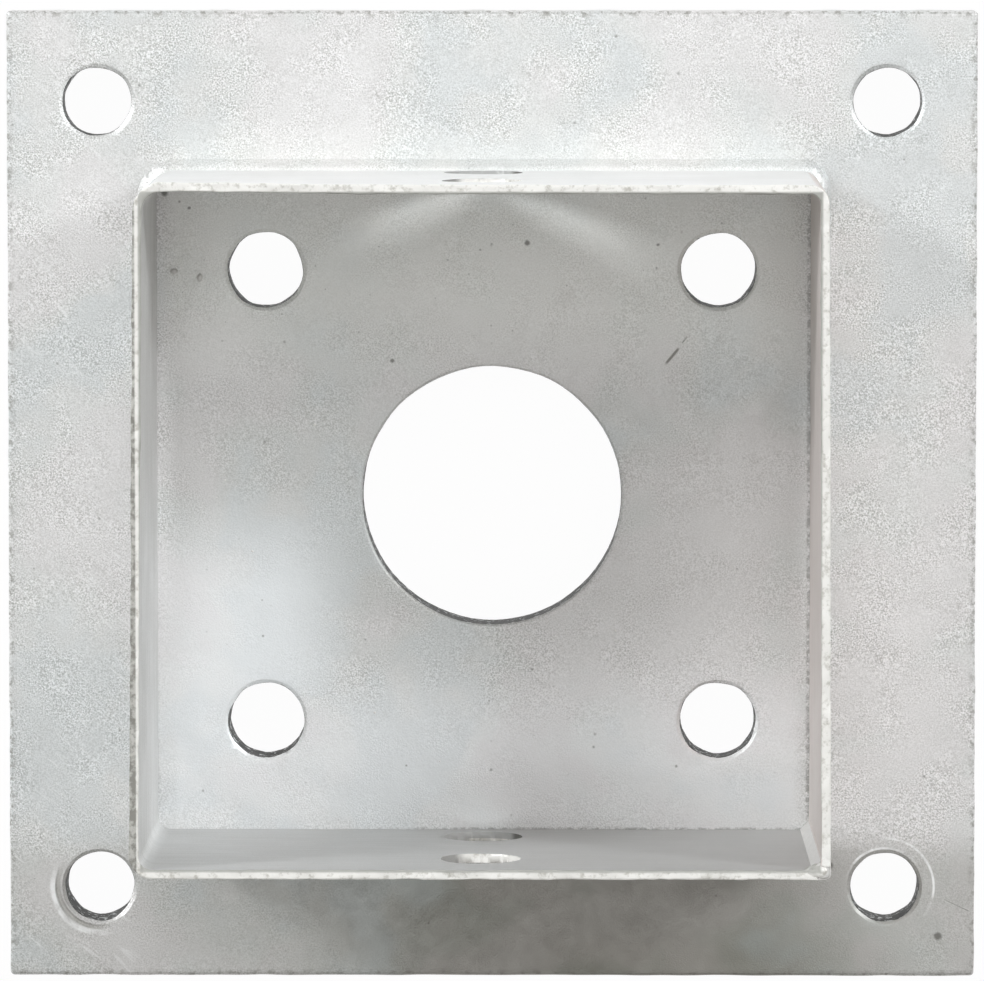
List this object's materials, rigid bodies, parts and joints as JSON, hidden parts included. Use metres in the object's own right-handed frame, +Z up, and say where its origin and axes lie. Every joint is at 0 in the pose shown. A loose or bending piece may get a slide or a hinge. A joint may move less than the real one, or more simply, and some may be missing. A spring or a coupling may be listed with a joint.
{
  "type": "timber post base",
  "caption": "Bolt-down base for a square timber post: a flat drilled plate with a shallow square socket welded on top, all hot-dip galvanised.",
  "frame": {"origin": "centre of the base plate's underside", "axes": "+Z up out of the socket's mouth; +X and +Y along the plate's sides, with the drilled socket walls facing -Y and +Y and the welded corner of the socket at +X, -Y"},
  "size_m": [0.15, 0.15, 0.058],
  "materials": {
    "plate_zinc": "hot-dip galvanised flat bar, dull silver-grey with a fine grain",
    "sheet_zinc": "hot-dip galvanised sheet, satin silver-grey with brighter sheared edges",
    "weld_zinc": "galvanised weld bead, rippled, slightly cream"
  },
  "bodies": {
    "root": {"base_plate": "plate_zinc", "post_socket": "sheet_zinc", "seam_weld": "weld_zinc", "foot_weld": "weld_zinc"}
  },
  "joints": []
}
